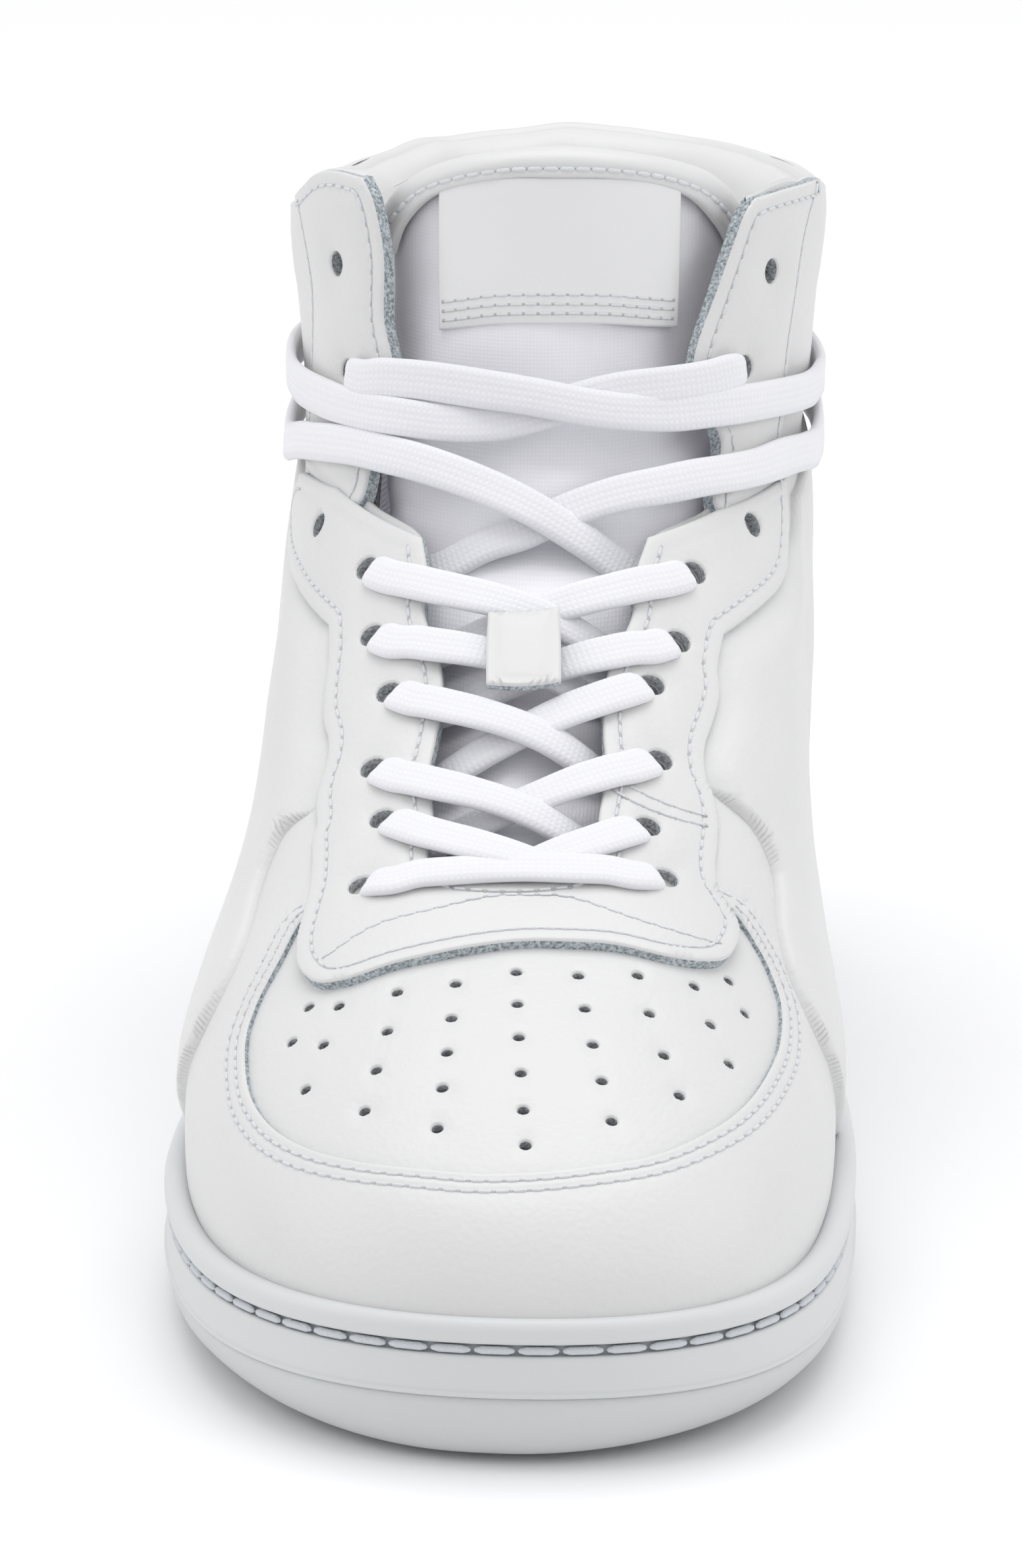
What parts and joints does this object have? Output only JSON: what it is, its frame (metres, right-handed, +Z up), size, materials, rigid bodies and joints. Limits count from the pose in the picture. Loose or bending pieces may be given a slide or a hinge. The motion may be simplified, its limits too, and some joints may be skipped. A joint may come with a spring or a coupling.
{
  "type": "basketball high top",
  "caption": "High-top leather basketball shoe for the right foot: cupsole, perforated toe, padded collar and tongue, flat lace wrapped round the ankle.",
  "frame": {"origin": "centre of the bounding box's plan, at the floor", "axes": "+Z up, toe toward -Y, lateral side toward -X, medial side toward +X"},
  "size_m": [0.1118, 0.2988, 0.1701],
  "materials": {
    "leather": "matte, fine grained",
    "suede_edge": "raw flesh side",
    "rubber_white": "satin white rubber",
    "rubber_outsole": "matte pale rubber",
    "satin_nylon": "soft satin",
    "lining_cloth": "matte knit",
    "foam": "open-cell foam",
    "board": "stiff fibreboard",
    "cotton_lace": "flat woven cotton",
    "thread": "twisted thread",
    "clear_plastic": "clear film"
  },
  "bodies": {
    "shoe": {"vamp_toe": "leather", "mudguard": "leather", "eyestay": "leather", "quarter_lateral": "leather", "quarter_medial": "leather", "wing_panel_lateral": "leather", "wing_panel_medial": "leather", "cuff_facing_lateral": "leather", "cuff_facing_medial": "leather", "heel_counter": "leather", "backstay": "leather", "lace_keeper": "leather", "eyestay_reinforcement_lateral": "suede_edge", "eyestay_reinforcement_medial": "suede_edge", "cupsole": "rubber_white", "outsole": "rubber_outsole", "tongue_lower": "satin_nylon", "vamp_lining": "lining_cloth", "quarter_lining": "lining_cloth", "collar_lining": "lining_cloth", "sockliner": "lining_cloth", "foam_midsole": "foam", "heel_cushion": "foam", "collar_foam": "foam", "insole_board": "board", "toe_puff": "board", "heel_stiffener": "board", "lace": "cotton_lace", "sole_stitch_thread": "thread", "aglet_lateral": "clear_plastic", "aglet_medial": "clear_plastic"},
    "tongue_upper": {"tongue_top": "satin_nylon", "tongue_trim": "leather", "tongue_label": "leather"}
  },
  "joints": [
    {"name": "tongue_flex", "type": "hinge", "parent": "shoe", "child": "tongue_upper", "pos_m": [0, 0.0478, 0.1384], "axis": [-1, 0, 0], "range_deg": [0, 18], "stiffness_Nm_per_rad": 0.4}
  ]
}
